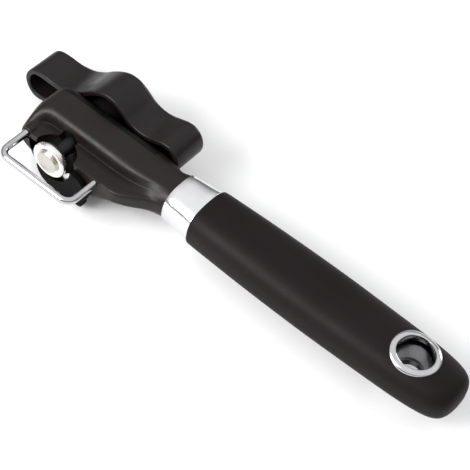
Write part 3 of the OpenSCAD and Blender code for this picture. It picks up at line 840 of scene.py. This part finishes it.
# ---- handle ---------------------------------------------------------------------------
# share of the grip's length, half width, half height
GRIP_STATIONS = [
    (0, 11.3, 9), (0.012, 11.7, 9.3), (0.08, 12.1, 9.4), (0.2, 12.6, 9.6), (0.35, 13, 9.7),
    (0.5, 13.1, 9.7), (0.65, 12.8, 9.6), (0.8, 12.4, 9.4), (0.88, 11.8, 9.1), (0.93, 11, 8.6),
    (0.96, 10, 7.8), (0.98, 8.6, 6.6), (0.993, 6.4, 4.8), (1, 3.5, 2.5),
]
GRIP_CURVE = open_curve(GRIP_STATIONS, 6)
GRIP_SHARP = 60
RING_OUTER = 9.45
RING_INNER = 7.0
TUBE_OUTER = 7.6
TUBE_INNER = 6.4
RING_PROUD = 0.6
RING_SUNK = 0.25


def grip_halves(x):
    """The grip's half width and half height at X."""
    share = (x - BAND_X1) / (END_X - BAND_X1)
    for a, b in zip(GRIP_CURVE, GRIP_CURVE[1:]):
        if share <= b[0]:
            k = (share - a[0]) / (b[0] - a[0])
            return mix(a[1], b[1], k), mix(a[2], b[2], k)
    return GRIP_CURVE[-1][1:]


def grip_height(x, y):
    """How far the grip's skin lies above the handle's middle."""
    half_width, half_height = grip_halves(x)
    side = min(1.0, abs(y - HANDLE_Y) / half_width)
    return half_height * (1 - side**OVAL_POWER) ** (1 / OVAL_POWER)


def handle_ring(x, half_width, half_height, count):
    """An oval round the handle's axis at X."""
    return [(x, HANDLE_Y + y, HANDLE_Z + z) for y, z in oval(half_width, half_height, count)]


def three_sided_ring(radius, z, count=120):
    """The eyelet's outline at a height from the handle's middle."""
    made = []
    for i in range(count):
        a = math.tau * i / count
        r = radius * three_sided(a)
        made.append((EYE_X + r * math.cos(a), HANDLE_Y + r * math.sin(a), HANDLE_Z + z))
    return made


def build_grip():
    length = END_X - BAND_X1
    rings = [handle_ring(BAND_X1 + s * length, a, b, 120) for s, a, b in GRIP_CURVE]
    start = [handle_ring(BAND_X1, GRIP_STATIONS[0][1] - 0.5, GRIP_STATIONS[0][2] - 0.5, 120)]
    grip = loft("soft_grip", start + rings, sharp_over=GRIP_SHARP)
    holes = ((-20, 20, TUBE_OUTER), (TUBE_HALF, 20, RING_OUTER), (-20, -TUBE_HALF, RING_OUTER))
    for low_z, high_z, radius in holes:
        cutter = loft("cutter", [three_sided_ring(radius, low_z), three_sided_ring(radius, high_z)])
        combine(grip, cutter, "DIFFERENCE", GRIP_SHARP)
    show(grip, GRIP_RUBBER, "handle", "grip_rubber", "handle_grip")


def rim_profile():
    """(radius, height over the grip's skin) from the outer edge over the crown to the inner edge."""
    crown = (RING_OUTER + RING_INNER) / 2
    half = (RING_OUTER - RING_INNER) / 2
    steps = 12
    made = []
    for k in range(steps + 1):
        a = math.pi * k / steps
        over = RING_PROUD * math.sin(a) ** 0.9 if 0 < k < steps else -RING_SUNK
        made.append((crown + half * math.cos(a), over))
    return made


def build_eyelet():
    for name, node, side in (
        ("eyelet_rim_upper", "eyelet_ring_top", 1),
        ("eyelet_rim_lower", "eyelet_ring_bottom", -1),
    ):
        rings = []
        for radius, over in rim_profile():
            flat = three_sided_ring(radius, 0)
            rings.append([(x, y, z + side * (grip_height(x, y) + over)) for x, y, z in flat])
        for radius in (RING_INNER, RING_OUTER):
            rings.append(three_sided_ring(radius, side * TUBE_HALF))
        show(loft(name, rings, loop=True), RING_CHROME, "handle", "ring_chrome", node)
    flare = 0.35
    t = TUBE_HALF
    profile = [
        (TUBE_OUTER, t), (TUBE_INNER + flare, t), (TUBE_INNER + 0.3 * flare, t - 0.8), (TUBE_INNER, t - 2),
        (TUBE_INNER, 2 - t), (TUBE_INNER + 0.3 * flare, 0.8 - t), (TUBE_INNER + flare, -t), (TUBE_OUTER, -t),
    ]
    tube = loft("eyelet_liner", [three_sided_ring(r, z) for r, z in profile], loop=True)
    show(tube, TUBE_METAL, "handle", "tube_metal", "eyelet_tube")


def build_band():
    width = BAND_X1 - BAND_X0
    # distance along the band, half width, half height
    stations = [
        (0, 9.3, 7.8), (0.03, 9.5, 8), (0.12, 9.66, 8.16), (0.3, 9.75, 8.25), (0.25 * width, 9.98, 8.37),
        (0.5 * width, 10.25, 8.5), (0.75 * width, 10.56, 8.66), (width - 0.3, 10.85, 8.8),
        (width - 0.12, 10.8, 8.75), (width - 0.03, 10.65, 8.6), (width, 10.45, 8.4),
        (width, 9.0, 6.0), (0, 9.0, 6.0),
    ]
    rings = [handle_ring(BAND_X0 + s, a, b, 144) for s, a, b in stations]
    band = loft("bright_band", rings, loop=True, sharp_over=55)
    show(band, BAND_STEEL, "handle", "band_steel", "ferrule_band")


# ---- the rest of the parts ------------------------------------------------------------
# CAD nodes that keep their shape: name, material, width of the softened edges
KEPT = [
    # the cutter cover's darker plastic is painted shade
    ("cutter_cover", CUTTER_COVER_PAINTED_SHADE, 0.3),
    ("frame_plate", PLATE_STEEL, 0.1),
    ("cutter_stud", PIN_STEEL, 0.2),
    ("cutter_washer", WASHER_BRASS, 0.05),
    # the bush's near-black is painted shade
    ("eccentric_bush", BUSH_PAINTED_SHADE, 0.15),
    ("stop_pin", PIN_STEEL, 0.15),
    ("cover_screw_end", SCREW_STEEL, 0.1),
    ("cover_screw_neck", SCREW_STEEL, 0.1),
    # the axle's near-black is painted shade
    ("drive_axle", AXLE_PAINTED_SHADE, 0.15),
    ("front_washer", WASHER_NYLON, 0.08),
    ("rear_washer", WASHER_NYLON, 0.08),
    ("knob_insert", INSERT_STEEL, 0.12),
    ("axle_clip", CLIP_STEEL, 0.08),
    ("handle_core", CORE_PLASTIC, 0.2),
    ("tang_pin_near", PIN_STEEL, 0.1),
    ("tang_pin_far", PIN_STEEL, 0.1),
]

build_head()
build_back_cover()
build_leg_seats()
build_wire()
build_hub()
build_drive_wheel()
build_cutter()
build_knob()
build_grip()
build_eyelet()
build_band()
for node, material, edge in KEPT:
    keep(node, material, edge)


# ---- floor, light and camera ----------------------------------------------------------
for name in ("Cube", "Light", "Camera"):
    if name in bpy.data.objects:
        bpy.data.objects.remove(bpy.data.objects[name])


FLOOR_HALF = 3000
FLOOR_GAP = 0.4


def build_floor():
    """A pale paper floor just under the object."""
    s = Surface("floor_paper")
    tone = s.blend(s.noise(300, detail=3), (0.88, 0.88, 0.88), (0.92, 0.92, 0.92))
    material = s.finish(tone, 0.8, s.bump(s.noise(1.5), 0.02))
    lowest = cad_box[0].z / MM - FLOOR_GAP
    bm = bmesh.new()
    signs = ((-1, -1), (1, -1), (1, 1), (-1, 1))
    corners = [bm.verts.new(Vector((x * FLOOR_HALF, y * FLOOR_HALF, lowest)) * MM) for x, y in signs]
    bm.faces.new(corners)
    floor = to_object("floor", bm)
    floor.data.materials.append(material)


def area_light(name, place, aim, size, power):
    """A soft square white light in metres, turned to a point."""
    data = bpy.data.lights.new(name, "AREA")
    data.size = size
    data.energy = power
    lamp = bpy.data.objects.new(name, data)
    bpy.context.scene.collection.objects.link(lamp)
    lamp.location = place
    lamp.rotation_mode = "QUATERNION"
    lamp.rotation_quaternion = (Vector(aim) - Vector(place)).to_track_quat("-Z", "Y")


def build_light():
    """A pale room, darker close to the horizon, with a softbox above the front and a weak light behind."""
    world = bpy.data.worlds.new("studio")
    bpy.context.scene.world = world
    world.use_nodes = True
    tree = world.node_tree
    way = tree.nodes.new("ShaderNodeTexCoord")
    parts = tree.nodes.new("ShaderNodeSeparateXYZ")
    ramp = tree.nodes.new("ShaderNodeValToRGB")
    tree.links.new(way.outputs["Generated"], parts.inputs[0])
    tree.links.new(parts.outputs["Z"], ramp.inputs[0])
    tree.links.new(ramp.outputs["Color"], tree.nodes["Background"].inputs["Color"])
    stops = ramp.color_ramp.elements
    stops[0].position, stops[0].color = 0.0, (0.35, 0.35, 0.35, 1)
    stops[1].position, stops[1].color = 1.0, (1.08, 1.09, 1.11, 1)
    for place, grey in ((0.04, 0.14), (0.2, 0.2), (0.45, 0.6), (0.75, 1.08)):
        stop = stops.new(place)
        stop.color = (grey, grey, grey, 1)
    tree.nodes["Background"].inputs["Strength"].default_value = 1.0
    centre = (0.07, 0.015, 0.0)
    area_light("softbox", (-0.22, -0.54, 0.43), centre, 0.42, 6.8)
    area_light("rim", (0.3, 1.1, 0.32), centre, 0.4, 3.0)


# angles in degrees, places in millimetres
CAMERA_AZIMUTH = 28.17
CAMERA_ELEVATION = 51.04
CAMERA_ROLL = 13.59
CAMERA_DISTANCE = 580.8
CAMERA_AIM = (71.42, 18.56, 1.0)
CAMERA_LENS = 122.55


def build_camera():
    a, e = math.radians(CAMERA_AZIMUTH), math.radians(CAMERA_ELEVATION)
    back = Vector((math.sin(a) * math.cos(e), -math.cos(a) * math.cos(e), math.sin(e)))
    data = bpy.data.cameras.new("camera")
    data.lens = CAMERA_LENS
    camera = bpy.data.objects.new("camera", data)
    bpy.context.scene.collection.objects.link(camera)
    camera.location = (Vector(CAMERA_AIM) + back * CAMERA_DISTANCE) * MM
    upright = (-back).to_track_quat("-Z", "Y").to_matrix().to_4x4()
    roll = Matrix.Rotation(math.radians(CAMERA_ROLL), 4, back)
    camera.rotation_mode = "QUATERNION"
    camera.rotation_quaternion = (roll @ upright).to_quaternion()
    data.clip_start, data.clip_end = 0.01, 20
    bpy.context.scene.camera = camera


build_floor()
build_light()
build_camera()
bpy.context.scene.view_settings.view_transform = "Standard"
